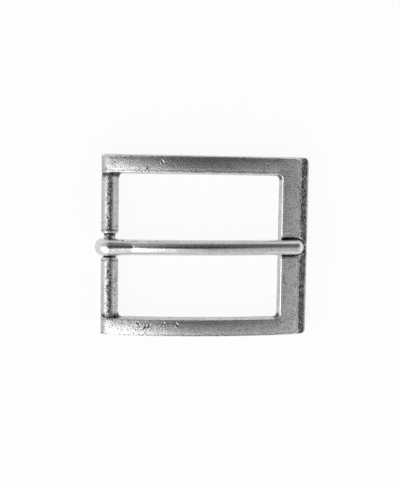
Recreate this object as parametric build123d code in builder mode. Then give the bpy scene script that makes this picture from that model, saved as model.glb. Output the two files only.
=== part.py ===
from build123d import *
import os
from math import cos, radians, sin, sqrt, tan

# A heel-bar belt buckle for a 35 mm strap, in two castings: a bowed rectangular frame with its
# heel bar cast in one with it, and a round prong whose hook is closed round the bar's neck.
#
# The origin is the middle of the heel bar, on its axis. +X runs along the strap to the prong's
# tip, +Y runs across the strap and +Z points out of the buckle's face. Sizes are in millimetres.

# strap and opening
strap_width = 35.0
strap_play = 0.6
opening_length = 40.35         # from the heel bar's inner side to the end rail, at the back

# rails
side_rail_width = 4.85         # at the back
side_rail_thickness = 3.3
end_rail_width = 7.9           # at the back
foot_width = 3.6               # of the flat that the end rail rests on
wall_draft = 6.6               # degrees, on every wall of the frame
wall_foot = 0.8                # depth below the rails' back at which the walls turn upright
opening_corner_radius = 0.9
outer_corner_radius = 1.1

# bow of the face, seen from the side
heel_cover = 0.3               # height of the rails' rounded ends above the bar
heel_slope = 10.7              # degrees the face climbs as it leaves the heel
end_bevel = 2.4                # 45 degree bevel along the outer edge of the end rail
end_face_height = 0.95         # of the face at that bevel, above the bar's axis
back_start = 2.3               # where the rails' hollow back leaves the heel

# heel bar
bar_diameter = 4.3
neck_diameter = 2.8            # where the prong's hook turns
neck_side_play = 1.6           # the neck's length over the hook's width
shoulder_share = 0.6           # of the step down to the neck that its outer rounding takes
root_share = 0.35              # of that step that the rounding at its foot takes
bar_flare = 1.4                # length over which the bar widens towards each rail
bar_root = 0.8                 # depth of the bar's ends inside the rails
bar_inset = 0.12               # from the rails' rounded heels in to the bar's widened ends

# prong
hook_width = 4.3
hook_thickness = 2.15          # from the neck's side to the outside of the bend
hook_axis_gap = 0.05           # from the bar's axis out to the oval that the hook is bent from
hook_clearance = 0.2           # round the neck
hook_arc = 212.0               # degrees that the hook turns, from above the bar to under the shank
prong_diameter = 3.9
prong_bow = 1.75               # rise of the shank's line above the straight from end to end
hook_straight = 0.6            # straight run of the hook past the top of the bar
hook_blend = 5.0               # length over which the oval hook becomes the round shank
shank_rise = 0.1               # of the shank's line above the hook's, where the blend ends
tip_setback = 1.7              # from the frame's outer end back to the tip

# notch for the prong in the end rail
notch_clearance = 0.2
notch_proud = 0.15             # height of the prong's line above the face at its tip
notch_lip = 0.4                # 45 degree flare at the face

# heights and places that follow from the sizes above
bar_radius = bar_diameter / 2
neck_radius = neck_diameter / 2
prong_radius = prong_diameter / 2
heel_x = -bar_radius
heel_round_radius = bar_radius + heel_cover
opening_end_x = bar_radius + opening_length
frame_end_x = opening_end_x + end_rail_width
opening_half = (strap_width + strap_play) / 2
frame_half = opening_half + side_rail_width
hook_outer_radius = neck_radius + hook_clearance + hook_thickness
hook_height = hook_outer_radius - hook_axis_gap
back_z = -hook_outer_radius    # the end rail's back is level with the bottom of the hook
draft_slope = tan(radians(wall_draft))
steep = 0.6                    # share of Z in the direction of an edge that counts as upright
reach = frame_half + 5         # past the frame's sides, for cuts and extrusions
clear = 1.0                    # by which a cut passes the surface that it opens

# the face's line, seen from the side: a round heel and one long arc to the end bevel
heel_centre = Vector(heel_x + heel_round_radius, 0)
face_start = heel_centre + Vector(-sin(radians(heel_slope)), cos(radians(heel_slope))) * heel_round_radius
bevel_foot_z = end_face_height - end_bevel
bevel_foot_x = frame_end_x - (bevel_foot_z - back_z) * draft_slope
face_end = Vector(bevel_foot_x - end_bevel, end_face_height)
face_arc = TangentArc(face_start, face_end, tangent=(cos(radians(heel_slope)), sin(radians(heel_slope))))
bow_centre = face_arc.arc_center
bow_radius = face_arc.radius
back_radius = bow_radius - side_rail_thickness


def on_bow(x, radius):
    """Return the point at this x on an arc of this radius about the bow's centre."""
    return Vector(x, bow_centre.Y + sqrt(radius**2 - (x - bow_centre.X)**2))


back_line_start = on_bow(back_start, back_radius)
back_line_end = on_bow(opening_end_x, back_radius)
back_line_middle = on_bow((back_start + opening_end_x) / 2, back_radius)

# the prong's line, from the end of the hook's blend to the middle of its round tip
eye_radius = neck_radius + hook_clearance
hook_radius = hook_outer_radius - hook_height / 2
hook_end = Vector(-sin(radians(hook_arc)), 0, cos(radians(hook_arc))) * hook_radius
hook_end_direction = Vector(-cos(radians(hook_arc)), 0, -sin(radians(hook_arc)))
tip_x = frame_end_x - tip_setback - prong_radius
shank_start = Vector(hook_straight + hook_blend, hook_radius + shank_rise)
shank_end = on_bow(tip_x, bow_radius) + Vector(0, notch_proud)
shank_middle = (shank_start + shank_end) / 2 + Vector(0, prong_bow)
shank_line = Plane.XZ * ThreePointArc(shank_start, shank_middle, shank_end)
notch_radius = prong_radius + notch_clearance
flare_foot = -notch_proud - notch_lip      # the flare starts this far from the prong's line
flare_rise = notch_radius                  # and ends well clear of the face

# ---------------------------------------------------------------- shapes that cut the frame
# Two rings about the bow's own axis, so that the walls lean in and still follow the bow. Both
# stand upright from a little under the rails' back downwards.
bow_axis = Axis((bow_centre.X, 0, bow_centre.Y), (0, 1, 0))
ring_depth = 6.0               # of the rings below the rails' back
ring_low = back_radius - ring_depth
ring_turn = back_radius - wall_foot
ring_high = bow_radius + clear


def ring_section(half_at_back, lean):
    """Return a ring section's corners, whose sides move by lean for each millimetre outwards."""
    low_half = half_at_back - wall_foot * lean
    high_half = half_at_back + (ring_high - back_radius) * lean
    return [
        (-low_half, bow_centre.Y + ring_low),
        (low_half, bow_centre.Y + ring_low),
        (low_half, bow_centre.Y + ring_turn),
        (high_half, bow_centre.Y + ring_high),
        (-high_half, bow_centre.Y + ring_high),
        (-low_half, bow_centre.Y + ring_turn),
    ]


with BuildPart() as outer_ring:
    with BuildSketch(Plane.YZ.offset(bow_centre.X)):
        with BuildLine():
            Polyline(*ring_section(frame_half, -draft_slope), close=True)
        make_face()
    revolve(axis=bow_axis)

with BuildPart() as opening_cut:
    with BuildSketch(Plane.YZ.offset(bow_centre.X)):
        with BuildLine():
            Polyline(*ring_section(opening_half, draft_slope), close=True)
        make_face()
    revolve(axis=bow_axis)
    # the opening stops at the end rail's inner wall
    with BuildSketch(Plane.XZ):
        cut_low = back_z - clear
        cut_high = hook_outer_radius + clear
        with BuildLine():
            Polyline(
                (-reach, cut_low),
                (opening_end_x + (cut_low - back_line_end.Y) * draft_slope, cut_low),
                (opening_end_x + (cut_high - back_line_end.Y) * draft_slope, cut_high),
                (-reach, cut_high),
                close=True,
            )
        make_face()
    extrude(amount=reach, both=True, mode=Mode.INTERSECT)
    upright_edges = opening_cut.edges().filter_by(lambda e: abs((e % 0.5).Z) > steep)
    fillet(upright_edges.filter_by(lambda e: e.center().X > bow_centre.X), opening_corner_radius)

# ---------------------------------------------------------------- heel bar
with BuildPart() as bar:
    with BuildSketch(Plane.XY) as bar_section:
        neck_half = (hook_width + neck_side_play) / 2
        bar_half = opening_half - bar_flare
        with BuildLine():
            Polyline(
                (0, -bar_half),
                (bar_radius, -bar_half),
                (bar_radius, -neck_half),
                (neck_radius, -neck_half),
                (neck_radius, neck_half),
                (bar_radius, neck_half),
                (bar_radius, bar_half),
                (0, bar_half),
                close=True,
            )
        make_face()
        neck_corners = bar_section.vertices().filter_by(lambda v: abs(v.Y) < (neck_half + bar_half) / 2)
        fillet(neck_corners.group_by(Axis.X)[-1], (bar_radius - neck_radius) * shoulder_share)
        fillet(neck_corners.group_by(Axis.X)[0], (bar_radius - neck_radius) * root_share)
    revolve(axis=Axis.Y)
    # each end widens on its inner side and runs into the rail's rounded heel
    for side in (-1, 1):
        with BuildSketch(Plane.XZ.offset(-side * bar_half)):
            Circle(bar_radius)
        with BuildSketch(Plane.XZ.offset(-side * (opening_half + bar_root))):
            with Locations(heel_centre):
                Ellipse(heel_round_radius - bar_inset, bar_radius)
        loft()

# ---------------------------------------------------------------- frame
with BuildPart() as frame:
    # the outline seen from the side, through the whole width
    with BuildSketch(Plane.XZ):
        with BuildLine():
            add(face_arc)
            Polyline(
                face_end,
                (bevel_foot_x, bevel_foot_z),
                (frame_end_x, back_z),
                (frame_end_x - foot_width, back_z),
                back_line_end,
            )
            ThreePointArc(back_line_end, back_line_middle, back_line_start)
            Polyline(back_line_start, heel_centre, face_start)
        make_face()
        with Locations(heel_centre):
            Circle(heel_round_radius)
    extrude(amount=reach, both=True)
    add(outer_ring.part, mode=Mode.INTERSECT)
    add(opening_cut.part, mode=Mode.SUBTRACT)
    add(bar.part)
    # the outer corners of the end rail
    end_edges = frame.edges().filter_by(lambda e: e.center().X > bevel_foot_x - end_bevel)
    fillet(end_edges.filter_by(lambda e: abs((e % 0.5).Z) > steep), outer_corner_radius)
    # the notch that the prong's tip lies in, open upwards and flared at the face
    with BuildSketch(Plane(origin=shank_line @ 1, x_dir=(0, 1, 0), z_dir=shank_line % 1)):
        Circle(notch_radius)
        with BuildLine():
            Polyline(
                (-notch_radius, flare_foot),
                (-notch_radius - flare_rise, flare_foot + flare_rise),
                (notch_radius + flare_rise, flare_foot + flare_rise),
                (notch_radius, flare_foot),
                close=True,
            )
        make_face()
    extrude(amount=end_rail_width, both=True, mode=Mode.SUBTRACT)

# ---------------------------------------------------------------- prong
with BuildPart() as prong:
    # the hook, an oval ring closed round the neck and open under the shank
    with BuildSketch(Plane.YZ):
        with Locations((0, hook_radius)):
            Ellipse(hook_width / 2, hook_height / 2)
    revolve(axis=Axis((0, 0, 0), (0, -1, 0)), revolution_arc=hook_arc)
    # its rounded end
    with BuildSketch(Plane(origin=hook_end, x_dir=(0, 1, 0), z_dir=hook_end_direction)):
        Ellipse(hook_width / 2, hook_height / 2)
        Rectangle(hook_width, hook_height, align=(Align.CENTER, Align.MIN), mode=Mode.SUBTRACT)
    revolve(axis=Axis(hook_end, (0, 1, 0)))
    # the hook runs straight over the bar, then turns into the round shank
    with BuildSketch(Plane.YZ):
        with Locations((0, hook_radius)):
            Ellipse(hook_width / 2, hook_height / 2)
    extrude(amount=hook_straight)
    with BuildSketch(Plane.YZ.offset(hook_straight)):
        with Locations((0, hook_radius)):
            Ellipse(hook_width / 2, hook_height / 2)
    with BuildSketch(Plane(origin=shank_line @ 0, x_dir=(0, 1, 0), z_dir=shank_line % 0)):
        Circle(prong_radius)
    loft()
    # the eye that turns on the neck
    with BuildSketch(Plane.XZ):
        Circle(eye_radius)
    extrude(amount=hook_width, both=True, mode=Mode.SUBTRACT)
    with BuildLine():
        add(shank_line)
    with BuildSketch(Plane(origin=shank_line @ 0, x_dir=(0, 1, 0), z_dir=shank_line % 0)):
        Circle(prong_radius)
    sweep()
    with Locations(shank_line @ 1):
        Sphere(prong_radius)

os.makedirs("parts", exist_ok=True)
for piece, name in ((frame, "frame"), (prong, "prong")):
    piece.part.label = name
    export_step(piece.part, f"parts/{name}.step")
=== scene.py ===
import math
import bmesh
import bpy
import numpy as np
from mathutils import Matrix, Vector


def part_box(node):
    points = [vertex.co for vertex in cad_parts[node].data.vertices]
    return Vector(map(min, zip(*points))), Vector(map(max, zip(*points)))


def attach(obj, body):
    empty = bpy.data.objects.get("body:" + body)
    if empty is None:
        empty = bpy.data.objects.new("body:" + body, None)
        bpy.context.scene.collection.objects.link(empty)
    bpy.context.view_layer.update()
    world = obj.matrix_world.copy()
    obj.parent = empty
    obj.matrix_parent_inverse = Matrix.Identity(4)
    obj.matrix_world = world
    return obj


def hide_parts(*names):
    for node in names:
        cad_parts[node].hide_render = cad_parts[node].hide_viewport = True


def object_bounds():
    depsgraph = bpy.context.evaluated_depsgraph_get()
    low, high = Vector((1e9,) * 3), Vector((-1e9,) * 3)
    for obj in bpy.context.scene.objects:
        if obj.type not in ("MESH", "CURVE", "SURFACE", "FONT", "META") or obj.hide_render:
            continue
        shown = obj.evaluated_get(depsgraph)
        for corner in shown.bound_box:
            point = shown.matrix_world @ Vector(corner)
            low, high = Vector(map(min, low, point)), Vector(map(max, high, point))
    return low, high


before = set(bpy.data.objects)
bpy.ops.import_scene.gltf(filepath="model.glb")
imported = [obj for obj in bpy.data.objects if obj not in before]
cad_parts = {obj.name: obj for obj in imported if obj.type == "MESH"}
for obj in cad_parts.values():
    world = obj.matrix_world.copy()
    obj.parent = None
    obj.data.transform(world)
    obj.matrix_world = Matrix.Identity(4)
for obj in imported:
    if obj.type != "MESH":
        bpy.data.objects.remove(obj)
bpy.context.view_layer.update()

# ------------------------------------------------------------------ the frame casting
# A zinc die casting: a bowed rectangle with its heel bar in one with it, drafted walls and edges
# rounded by tumbling. It is silver plated, antiqued dark and rubbed back, so the recesses and
# the bevel along the end rail keep their dark patina. Shade is painted dark on the strips beside
# the edges and a dark reflection is painted along the bar's crest, and the bar's roots and the
# notch's walls are coloured darker.

MM = 0.001                          # metres
FRAME_GRAIN = 0.187 * MM            # the finest detail that the casting's mesh holds
FRAME_TUMBLING = 4                  # passes that round its edges
FRAME_POLISHING = 20                # passes that even its flats
FLAT_BEND = (0.012, 0.005)          # bend at which a surface is no flat, and at which it is one

SIDE_RAIL = 4.85 * MM               # the rail's width
RAIL_CROWN = 0.16 * MM              # how far the rails' edges fall below their middle lines
CROWN_ENDS = (44 * MM, 41 * MM)     # along X, towards the end rail
CROWN_SIDES = (1.25, 1.0)           # in half widths from the rail's middle line
FACES_UP = (0.5, 0.95)              # upward share of a normal, from a wall's to a face's

NICK_WIDTH, NICK_DEPTH = 0.24 * MM, 0.17 * MM
NICK_TAPER = (1.0, 0.6)             # shares of its half length over which a nick runs out
LIP_TAPER = (1.1, 0.7)
LIP_PLACE, LIP_WIDTH, LIP_HEIGHT = 1.4, 0.7, 0.35   # of the nick's width, width and depth
NICKED_FACE = 0.7                   # least upward share of a normal where a nick is pressed in

# the nicks: middle in mm, length in mm, turn in degrees
NICKS = [
    ((9.2, 19.4), 1.0, 55),
    ((12.8, 20.9), 0.9, -50),
    ((38.8, 20.6), 0.8, -45),
    ((8.9, -20.2), 1.2, 50),
    ((9.9, -19.8), 1.2, 52),
    ((7.2, -19.1), 0.9, -40),
    ((13.4, -19.2), 0.9, 50),
    ((16.9, -19.4), 1.3, -45),
]

# where the casting is coloured dark: patina on the end bevel, a painted dark reflection along
# the bar's crest, and darkening at the bar's roots and on the notch's walls; each pair is the
# place at which it starts and at which it is full
BEVEL_START, BEVEL_STOP = (47.7 * MM, 48.2 * MM), (49.85 * MM, 49.5 * MM)
BEVEL_FACING = (0.2, 0.5)           # outward share of the bevel's normal
BAR_SIDES = (17.9 * MM, 17.5 * MM)
BAR_FRONT = (3.2 * MM, 2.6 * MM)
BAR_ROOTS = (16.6 * MM, 17.7 * MM)
# a dark reflection is painted along the bar's crest, this far from its middle line and this wide
BAR_CREST, BAR_CREST_WIDTH = -0.1 * MM, (0.9 * MM, 0.3 * MM)
NOTCH_START = (43.2 * MM, 43.6 * MM)
NOTCH_SIDES = (2.7 * MM, 2.3 * MM)
NOTCH_FOOT = (-1.4 * MM, -1.1 * MM)
CORNER_BEND = (0.004, 0.012)        # inward bend of the corners that hold patina
# painted shade lies on the strip beside each edge, which the two bends below pick out
SHOULDER_BEND, EDGE_BEND = (0.03, 0.12), (0.008, 0.03)   # of a strip beside an edge, of the edge
RUBBED_BEND = (0.012, 0.05)         # outward bend of the edges that are rubbed bright
# how dark each mark is coloured: patina on the end bevel, painted shade beside the edges, a painted
# dark reflection along the bar's crest, and darkening on the notch's walls
BEVEL_DARK, SHOULDER_PAINTED_SHADE, CREST_PAINTED_REFLECTION, NOTCH_DARK = 1.15, 0.7, 0.6, 0.7


def solid_copy(node, name):
    """A new mesh object with the shape of one CAD node."""
    piece = bpy.data.objects.new(name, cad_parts[node].data.copy())
    piece.data.materials.clear()
    bpy.context.scene.collection.objects.link(piece)
    return piece


def tumble(piece, grain, passes):
    """Remeshes a piece evenly at this grain and rounds its edges, as tumbling does."""
    remesh = piece.modifiers.new("even mesh", "REMESH")
    remesh.mode = "VOXEL"
    remesh.voxel_size = grain
    remesh.use_smooth_shade = True
    rounding = piece.modifiers.new("rounding", "SMOOTH")
    rounding.factor = 0.5
    rounding.iterations = passes
    graph = bpy.context.evaluated_depsgraph_get()
    mesh = bpy.data.meshes.new_from_object(piece.evaluated_get(graph))
    piece.modifiers.clear()
    piece.data = mesh


def vertex_places(mesh):
    """Every vertex's place, as rows of x, y and z."""
    rows = np.empty(len(mesh.vertices) * 3)
    mesh.vertices.foreach_get("co", rows)
    return rows.reshape(-1, 3)


def vertex_facing(mesh):
    """Every vertex's normal, as rows of x, y and z."""
    rows = np.empty(len(mesh.vertices) * 3)
    mesh.vertex_normals.foreach_get("vector", rows)
    return rows.reshape(-1, 3)


def place_vertices(mesh, rows):
    """Writes the vertices' places back."""
    mesh.vertices.foreach_set("co", rows.ravel())
    mesh.update()


def spread(mesh, values, passes):
    """Values per vertex, averaged with the neighbours' this many times."""
    edges = np.empty(len(mesh.edges) * 2, dtype=np.int32)
    mesh.edges.foreach_get("vertices", edges)
    first, second = edges.reshape(-1, 2).T
    count = np.bincount(edges, minlength=len(values)) + 1.0
    for _ in range(passes):
        total = values.copy()
        total += np.bincount(first, values[second], len(values))
        total += np.bincount(second, values[first], len(values))
        values = total / count
    return values


def evened_places(mesh, passes):
    """Every vertex's place after this many passes of averaging."""
    return np.stack([spread(mesh, axis, passes) for axis in vertex_places(mesh).T], 1)


def bend_of_surface(mesh, passes):
    """How sharply the surface bends at each vertex: above 0 on edges and below 0 in corners."""
    sunk = vertex_places(mesh) - evened_places(mesh, passes)
    return np.einsum("ij,ij->i", sunk, vertex_facing(mesh)) / MM


def keep_on_vertices(mesh, name, values):
    """Stores a value per vertex for the materials to read."""
    layer = mesh.attributes.new(name, "FLOAT", "POINT")
    layer.data.foreach_set("value", np.clip(values, 0, 1).astype(np.float32))


def fade(values, start, end):
    """0 before start and 1 after end, smooth between them."""
    share = np.clip((values - start) / (end - start), 0, 1)
    return share * share * (3 - 2 * share)


def even_out(mesh, bends, passes):
    """Evens the flats and leaves the edges, as polishing does before the tumbling."""
    places = vertex_places(mesh)
    flat = fade(np.abs(bends), *FLAT_BEND)[:, None]
    place_vertices(mesh, places + (evened_places(mesh, passes) - places) * flat)


def crown_rails(mesh):
    """Lets the side rails' faces fall away towards both of their edges."""
    places, facing = vertex_places(mesh), vertex_facing(mesh)
    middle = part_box("frame")[1][1] - SIDE_RAIL / 2
    across = (np.abs(places[:, 1]) - middle) / (SIDE_RAIL / 2)
    on_face = fade(facing[:, 2], *FACES_UP) * fade(places[:, 0], *CROWN_ENDS)
    on_face *= fade(np.abs(across), *CROWN_SIDES)
    places[:, 2] -= RAIL_CROWN * across**2 * on_face
    place_vertices(mesh, places)


def nick(mesh, middle, length, turn):
    """Presses one short scratch into the face at middle, turned by this many degrees."""
    places, facing = vertex_places(mesh), vertex_facing(mesh)
    along = np.array([math.cos(math.radians(turn)), math.sin(math.radians(turn))])
    offset = places[:, :2] - np.array(middle) * MM
    run = np.abs(offset @ along) / (length * MM / 2)
    aside = np.abs(offset @ np.array([-along[1], along[0]])) / NICK_WIDTH
    groove = fade(aside, 1.0, 0.0) * fade(run, *NICK_TAPER)
    lip = fade(np.abs(aside - LIP_PLACE), LIP_WIDTH, 0.0) * fade(run, *LIP_TAPER)
    on_face = facing[:, 2] > NICKED_FACE
    places[:, 2] += (LIP_HEIGHT * lip - groove) * NICK_DEPTH * on_face
    place_vertices(mesh, places)
    return groove * on_face


frame_casting = solid_copy("frame", "frame_casting")
tumble(frame_casting, FRAME_GRAIN, FRAME_TUMBLING)
frame_mesh = frame_casting.data
crown_rails(frame_mesh)
bends = spread(frame_mesh, bend_of_surface(frame_mesh, passes=4), passes=2)
even_out(frame_mesh, bends, FRAME_POLISHING)
along, across, height = vertex_places(frame_mesh).T
facing_end = vertex_facing(frame_mesh)[:, 0]

scratched = np.zeros(len(frame_mesh.vertices))
for middle, length, turn in NICKS:
    scratched = np.maximum(scratched, nick(frame_mesh, middle, length, turn))

aside = np.abs(across)
end_bevel = fade(along, *BEVEL_START) * fade(along, *BEVEL_STOP)
wide_bends = bend_of_surface(frame_mesh, passes=24)
# the strips beside the edges, on which shade is painted dark
shoulders = fade(wide_bends, *SHOULDER_BEND) * (1 - fade(bends, *EDGE_BEND))
bar = fade(aside, *BAR_SIDES) * fade(along, *BAR_FRONT)
notch_wall = fade(along, *NOTCH_START) * fade(aside, *NOTCH_SIDES)
notch_wall *= fade(height, *NOTCH_FOOT)
# the dark marks: patina in the inward corners and on the end bevel, painted shade beside the edges,
# darkening at the bar's roots and on the notch's walls, and a painted dark reflection along the
# bar's crest
dark = np.maximum.reduce([
    fade(-bends, *CORNER_BEND),
    BEVEL_DARK * end_bevel * fade(facing_end, *BEVEL_FACING),
    SHOULDER_PAINTED_SHADE * shoulders,
    bar * fade(aside, *BAR_ROOTS),
    CREST_PAINTED_REFLECTION * bar * fade(np.abs(along - BAR_CREST), *BAR_CREST_WIDTH),
    NOTCH_DARK * notch_wall,
])
# the patina, the painted shade and the painted dark reflection go into one mask, together with the
# nicks' patina
keep_on_vertices(frame_mesh, "patina_and_painted_shade", np.maximum(spread(frame_mesh, dark, passes=1), scratched))
keep_on_vertices(frame_mesh, "rubbed", fade(bends, *RUBBED_BEND))


def group_of(name, values, results):
    """A new shader node group with these named inputs and outputs."""
    group = bpy.data.node_groups.new(name, "ShaderNodeTree")
    for socket, kind, default in values:
        made = group.interface.new_socket(socket, in_out="INPUT", socket_type=kind)
        made.default_value = default
    for socket, kind in results:
        group.interface.new_socket(socket, in_out="OUTPUT", socket_type=kind)
    return group, group.nodes.new("NodeGroupInput"), group.nodes.new("NodeGroupOutput")


def noise(tree, place, scale, detail, rough):
    """A noise texture of so many features a metre, at these coordinates."""
    node = tree.nodes.new("ShaderNodeTexNoise")
    node.inputs["Scale"].default_value = scale
    node.inputs["Detail"].default_value = detail
    node.inputs["Roughness"].default_value = rough
    tree.links.new(place, node.inputs["Vector"])
    return node.outputs["Fac"]


def ranged(tree, value, low, high, to_low=0.0, to_high=1.0):
    """The value, stretched so that low to high becomes to_low to to_high."""
    node = tree.nodes.new("ShaderNodeMapRange")
    node.inputs["From Min"].default_value = low
    node.inputs["From Max"].default_value = high
    node.inputs["To Min"].default_value = to_low
    node.inputs["To Max"].default_value = to_high
    tree.links.new(value, node.inputs["Value"])
    return node.outputs["Result"]


def worked_out(tree, operation, first, second):
    """One math node over two sockets."""
    node = tree.nodes.new("ShaderNodeMath")
    node.operation = operation
    tree.links.new(first, node.inputs[0])
    tree.links.new(second, node.inputs[1])
    return node.outputs[0]


def mixed(tree, share, first, second):
    """A colour between two colours, which are sockets or plain colours."""
    node = tree.nodes.new("ShaderNodeMix")
    node.data_type = "RGBA"
    tree.links.new(share, node.inputs["Factor"])
    for socket, value in ((node.inputs["A"], first), (node.inputs["B"], second)):
        if isinstance(value, tuple):
            socket.default_value = (*value, 1)
        else:
            tree.links.new(value, socket)
    return node.outputs["Result"]


def antique_group():
    """Dark antiquing left in the recesses and in specks, and rubbed off the edges; the mask it is
    given also brings painted shade and painted dark reflections.
    """
    group, given, gives = group_of(
        "antique_patina_and_painted_shade",
        [("Place", "NodeSocketVector", (0, 0, 0)), ("Held_patina_and_painted_shade", "NodeSocketFloat", 0.0),
         ("Rubbed", "NodeSocketFloat", 0.0), ("Specks", "NodeSocketFloat", 0.5),
         ("Clouding", "NodeSocketFloat", 0.3)],
        [("Patina_and_painted_shade_share", "NodeSocketFloat"), ("Bright", "NodeSocketFloat")],
    )
    place, rubbed = given.outputs["Place"], given.outputs["Rubbed"]
    specks = noise(group, place, scale=2900, detail=3.0, rough=0.75)
    specks = ranged(group, specks, low=0.52, high=0.6)
    clouds = noise(group, place, scale=330, detail=4.0, rough=0.6)
    clouds = ranged(group, clouds, low=0.36, high=0.66)
    broken = noise(group, place, scale=2600, detail=3.0, rough=0.8)
    broken = ranged(group, broken, low=0.42, high=0.58, to_low=0.35, to_high=1.9)

    thick_or_thin = ranged(group, clouds, low=0.0, high=1.0, to_low=0.45, to_high=1.0)
    speckled = worked_out(group, "MULTIPLY", specks, given.outputs["Specks"])
    speckled = worked_out(group, "MULTIPLY", speckled, thick_or_thin)
    recess = worked_out(group, "MULTIPLY", given.outputs["Held_patina_and_painted_shade"], broken)
    clouded = worked_out(group, "MULTIPLY", clouds, given.outputs["Clouding"])
    laid = worked_out(group, "ADD", worked_out(group, "ADD", speckled, recess), clouded)
    left = ranged(group, rubbed, low=0.0, high=1.0, to_low=1.0, to_high=0.15)
    kept = ranged(group, worked_out(group, "MULTIPLY", laid, left), low=0.0, high=1.0)
    group.links.new(kept, gives.inputs["Patina_and_painted_shade_share"])

    bare_gaps = ranged(group, broken, low=0.45, high=1.0, to_low=1.0, to_high=0.4)
    group.links.new(worked_out(group, "MULTIPLY", rubbed, bare_gaps), gives.inputs["Bright"])
    return group


def tumbled_group():
    """The fine dimples and soft hammering that a tumbled casting keeps, as a height."""
    group, given, gives = group_of(
        "tumbled_skin",
        [("Place", "NodeSocketVector", (0, 0, 0)), ("Dimples", "NodeSocketFloat", 0.5),
         ("Waves", "NodeSocketFloat", 0.5)],
        [("Height", "NodeSocketFloat"), ("Dull", "NodeSocketFloat")],
    )
    place = given.outputs["Place"]
    fine = noise(group, place, scale=4200, detail=3.0, rough=0.6)
    wide = noise(group, place, scale=700, detail=2.0, rough=0.5)
    dimples = worked_out(group, "MULTIPLY", fine, given.outputs["Dimples"])
    waves = worked_out(group, "MULTIPLY", wide, given.outputs["Waves"])
    group.links.new(worked_out(group, "ADD", dimples, waves), gives.inputs["Height"])
    group.links.new(ranged(group, fine, low=0.3, high=0.7), gives.inputs["Dull"])
    return group


ANTIQUE, TUMBLED = antique_group(), tumbled_group()
RUBBED_SILVER = (0.97, 0.97, 0.96)
STAIN_DULLS = 0.3                   # roughness that full patina adds
DIMPLES_DULL = (-0.04, 0.05)        # roughness that the dimples add, least and most


def relieved_silver(name, bare, patina_and_painted_shade_colour, rough, specks, clouding, dimples, waves, depth):
    """Silver plate, antiqued and rubbed back, over a tumbled casting."""
    material = bpy.data.materials.new(name)
    material.use_nodes = True
    tree = material.node_tree
    shader = tree.nodes["Principled BSDF"]
    place = tree.nodes.new("ShaderNodeTexCoord").outputs["Object"]

    patina_and_painted_shade = tree.nodes.new("ShaderNodeGroup")
    patina_and_painted_shade.node_tree = ANTIQUE
    patina_and_painted_shade.inputs["Specks"].default_value = specks
    patina_and_painted_shade.inputs["Clouding"].default_value = clouding
    tree.links.new(place, patina_and_painted_shade.inputs["Place"])
    for attribute, socket in (("patina_and_painted_shade", "Held_patina_and_painted_shade"), ("rubbed", "Rubbed")):
        reader = tree.nodes.new("ShaderNodeAttribute")
        reader.attribute_name = attribute
        tree.links.new(reader.outputs["Fac"], patina_and_painted_shade.inputs[socket])

    skin = tree.nodes.new("ShaderNodeGroup")
    skin.node_tree = TUMBLED
    skin.inputs["Dimples"].default_value = dimples
    skin.inputs["Waves"].default_value = waves
    tree.links.new(place, skin.inputs["Place"])

    colour = mixed(tree, patina_and_painted_shade.outputs["Bright"], bare, RUBBED_SILVER)
    # this dark colour also paints the shade and the dark reflections that the frame's mask carries
    colour = mixed(tree, patina_and_painted_shade.outputs["Patina_and_painted_shade_share"], colour, patina_and_painted_shade_colour)
    tree.links.new(colour, shader.inputs["Base Color"])
    shader.inputs["Metallic"].default_value = 1.0
    dull = ranged(tree, patina_and_painted_shade.outputs["Patina_and_painted_shade_share"], 0.0, 1.0, rough, rough + STAIN_DULLS)
    dull = worked_out(tree, "ADD", dull, ranged(tree, skin.outputs["Dull"], 0.0, 1.0, *DIMPLES_DULL))
    tree.links.new(dull, shader.inputs["Roughness"])
    bump = tree.nodes.new("ShaderNodeBump")
    bump.inputs["Strength"].default_value = 1.0
    bump.inputs["Distance"].default_value = depth
    tree.links.new(skin.outputs["Height"], bump.inputs["Height"])
    tree.links.new(bump.outputs["Normal"], shader.inputs["Normal"])
    return material


frame_mesh.materials.append(relieved_silver(
    "frame_silver", bare=(0.63, 0.63, 0.62), patina_and_painted_shade_colour=(0.035, 0.035, 0.033), rough=0.22,
    specks=0.85, clouding=0.12, dimples=1.0, waves=0.2, depth=0.045 * MM,
))
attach(frame_casting, "frame_body")
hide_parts("frame")

# ------------------------------------------------------------------ the prong
# A cast tongue, round and slightly bowed, whose flat hook is closed round the neck of the bar.
# It is plated as the frame is and polished brighter. It lies loosely, a little to one side.

PRONG_GRAIN = 0.12 * MM
PRONG_TUMBLING = 6                  # passes that round its edges
PRONG_LEAN = math.radians(0.5)      # how far it lies off square, about its tip
PRONG_CORNER_BEND = (0.003, 0.012)  # inward bend of the corners that hold patina
PRONG_RUBBED_BEND = (0.05, 0.09)    # outward bend of the edges that are rubbed bright

# the pits: middle in mm, radius in mm, depth in mm
PITS = [
    ((5.6, -0.1, 4.0), 0.45, 0.2),
    ((3.2, 1.5, 2.9), 0.5, 0.2),
]


def pit(mesh, middle, radius, depth):
    """Presses one round pit into the surface at middle."""
    places, facing = vertex_places(mesh), vertex_facing(mesh)
    gone = np.linalg.norm(places - np.array(middle) * MM, axis=1) / (radius * MM)
    cup = fade(gone, 1.0, 0.0)
    place_vertices(mesh, places - facing * (cup * depth * MM)[:, None])
    return cup


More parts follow.
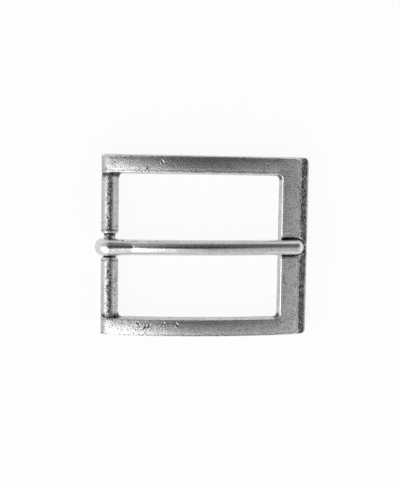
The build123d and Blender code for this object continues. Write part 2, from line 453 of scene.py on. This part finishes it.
prong_casting = solid_copy("prong", "prong_casting")
tumble(prong_casting, PRONG_GRAIN, PRONG_TUMBLING)
prong_mesh = prong_casting.data
tip_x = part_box("prong")[1][0]
lean = Matrix.Translation((tip_x, 0, 0)) @ Matrix.Rotation(PRONG_LEAN, 4, "Z")
prong_mesh.transform(lean @ Matrix.Translation((-tip_x, 0, 0)))
pitted = np.zeros(len(prong_mesh.vertices))
for middle, radius, depth in PITS:
    pitted = np.maximum(pitted, pit(prong_mesh, middle, radius, depth))
prong_bends = bend_of_surface(prong_mesh, passes=6)
prong_dark = np.maximum(fade(-prong_bends, *PRONG_CORNER_BEND), pitted)
keep_on_vertices(prong_mesh, "patina_and_painted_shade", prong_dark)
keep_on_vertices(prong_mesh, "rubbed", fade(prong_bends, *PRONG_RUBBED_BEND))
prong_mesh.materials.append(relieved_silver(
    "prong_silver", bare=(0.72, 0.72, 0.72), patina_and_painted_shade_colour=(0.06, 0.06, 0.06), rough=0.15,
    specks=0.55, clouding=0.06, dimples=0.6, waves=0.3, depth=0.03 * MM,
))
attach(prong_casting, "prong_body")
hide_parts("prong")

# ------------------------------------------------------------------ table, light and camera
# A plain white table in a light tent. The tent's wall is brightest on the heel's side and on -Y,
# dim on +Y and darkest overhead, round the opening for the lens, and even near the table. A weak
# lamp stands on the heel's side.

TABLE_HALF = 1.5
PAPER = (0.9, 0.9, 0.9, 1)
PAPER_ROUGH = 0.9
TABLE_SEEN_WHITE = 0.92             # share of plain white in the table as a lens or a gloss sees it

table_mesh = bpy.data.meshes.new("table")
maker = bmesh.new()
bmesh.ops.create_grid(maker, x_segments=1, y_segments=1, size=TABLE_HALF)
maker.to_mesh(table_mesh)
maker.free()
table = bpy.data.objects.new("table", table_mesh)
table.location = (0, 0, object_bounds()[0][2])
bpy.context.scene.collection.objects.link(table)

white = bpy.data.materials.new("white_table")
white.use_nodes = True
tree = white.node_tree
paper = tree.nodes["Principled BSDF"]
paper.inputs["Base Color"].default_value = PAPER
paper.inputs["Roughness"].default_value = PAPER_ROUGH
glow = tree.nodes.new("ShaderNodeEmission")
seen = tree.nodes.new("ShaderNodeMixShader")
seen.inputs["Fac"].default_value = TABLE_SEEN_WHITE
tree.links.new(paper.outputs[0], seen.inputs[1])
tree.links.new(glow.outputs[0], seen.inputs[2])
rays = tree.nodes.new("ShaderNodeLightPath").outputs
direct = worked_out(tree, "ADD", rays["Is Camera Ray"], rays["Is Glossy Ray"])
direct = worked_out(tree, "ADD", direct, rays["Is Transmission Ray"])
pick = tree.nodes.new("ShaderNodeMixShader")
tree.links.new(direct, pick.inputs["Fac"])
tree.links.new(paper.outputs[0], pick.inputs[1])
tree.links.new(seen.outputs[0], pick.inputs[2])
tree.links.new(pick.outputs[0], tree.nodes["Material Output"].inputs["Surface"])
table_mesh.materials.append(white)

OPENING_WAY = (-0.03, 0.08, 0.996)  # from the table's middle to the middle of the tent's opening
TENT_FOOT = 1.0                     # level of the tent's wall near the table

world = bpy.data.worlds.new("light_tent")
bpy.context.scene.world = world
world.use_nodes = True
tree = world.node_tree
direction = tree.nodes.new("ShaderNodeTexCoord").outputs["Generated"]
ways = tree.nodes.new("ShaderNodeSeparateXYZ")
tree.links.new(direction, ways.inputs["Vector"])
nearness = tree.nodes.new("ShaderNodeVectorMath")
nearness.operation = "DOT_PRODUCT"
nearness.inputs[1].default_value = OPENING_WAY
tree.links.new(direction, nearness.inputs[0])
opening = ranged(tree, nearness.outputs["Value"], low=0.9, high=0.985, to_low=1.0, to_high=0.1)
heel_side = ranged(tree, ways.outputs["X"], low=-0.4, high=0.0, to_low=2.1, to_high=0.5)
tip_foot = ranged(tree, ways.outputs["X"], low=0.65, high=0.9, to_low=0.0, to_high=1.1)
across = ranged(tree, ways.outputs["Y"], low=-0.3, high=0.25, to_low=1.3, to_high=0.3)
dome = worked_out(tree, "MULTIPLY", opening, worked_out(tree, "ADD", heel_side, tip_foot))
dome = worked_out(tree, "MULTIPLY", dome, across)
foot = ranged(tree, ways.outputs["Z"], low=0.15, high=0.6, to_low=1.0, to_high=0.0)
wall = tree.nodes.new("ShaderNodeMix")
tree.links.new(foot, wall.inputs["Factor"])
tree.links.new(dome, wall.inputs["A"])
wall.inputs["B"].default_value = TENT_FOOT
tree.links.new(wall.outputs["Result"], tree.nodes["Background"].inputs["Strength"])
tree.nodes["Background"].inputs["Color"].default_value = (1, 1, 1, 1)

LAMP_PLACE, LAMP_AIM = Vector((-0.35, -0.25, 0.5)), Vector((0.02, 0, 0))
LAMP_SIZE, LAMP_WATTS = 0.5, 0.5

lamp_data = bpy.data.lights.new("key_lamp", "AREA")
lamp_data.shape = "SQUARE"
lamp_data.size = LAMP_SIZE
lamp_data.energy = LAMP_WATTS
lamp = bpy.data.objects.new("key_lamp", lamp_data)
lamp.location = LAMP_PLACE
lamp.rotation_euler = (LAMP_AIM - LAMP_PLACE).to_track_quat("-Z", "Y").to_euler()
bpy.context.scene.collection.objects.link(lamp)

CAMERA_PLACE = Vector((6.437, 15.59, 210.0)) * MM
CAMERA_AIM = Vector((22.48, 0.58, 1.5)) * MM
CAMERA_ROLL = math.radians(0.884)
LENS, SENSOR = 61.9, 36             # millimetres, as the camera takes them

camera_data = bpy.data.cameras.new("camera")
camera_data.lens = LENS
camera_data.sensor_width = SENSOR
camera = bpy.data.objects.new("camera", camera_data)
back = (CAMERA_PLACE - CAMERA_AIM).normalized()
right = Vector((0, 1, 0)).cross(back).normalized()
look = Matrix((right, back.cross(right), back)).transposed().to_4x4()
camera.matrix_world = Matrix.Translation(CAMERA_PLACE) @ look @ Matrix.Rotation(CAMERA_ROLL, 4, "Z")
bpy.context.scene.collection.objects.link(camera)
bpy.context.scene.camera = camera

bpy.context.scene.view_settings.view_transform = "Standard"
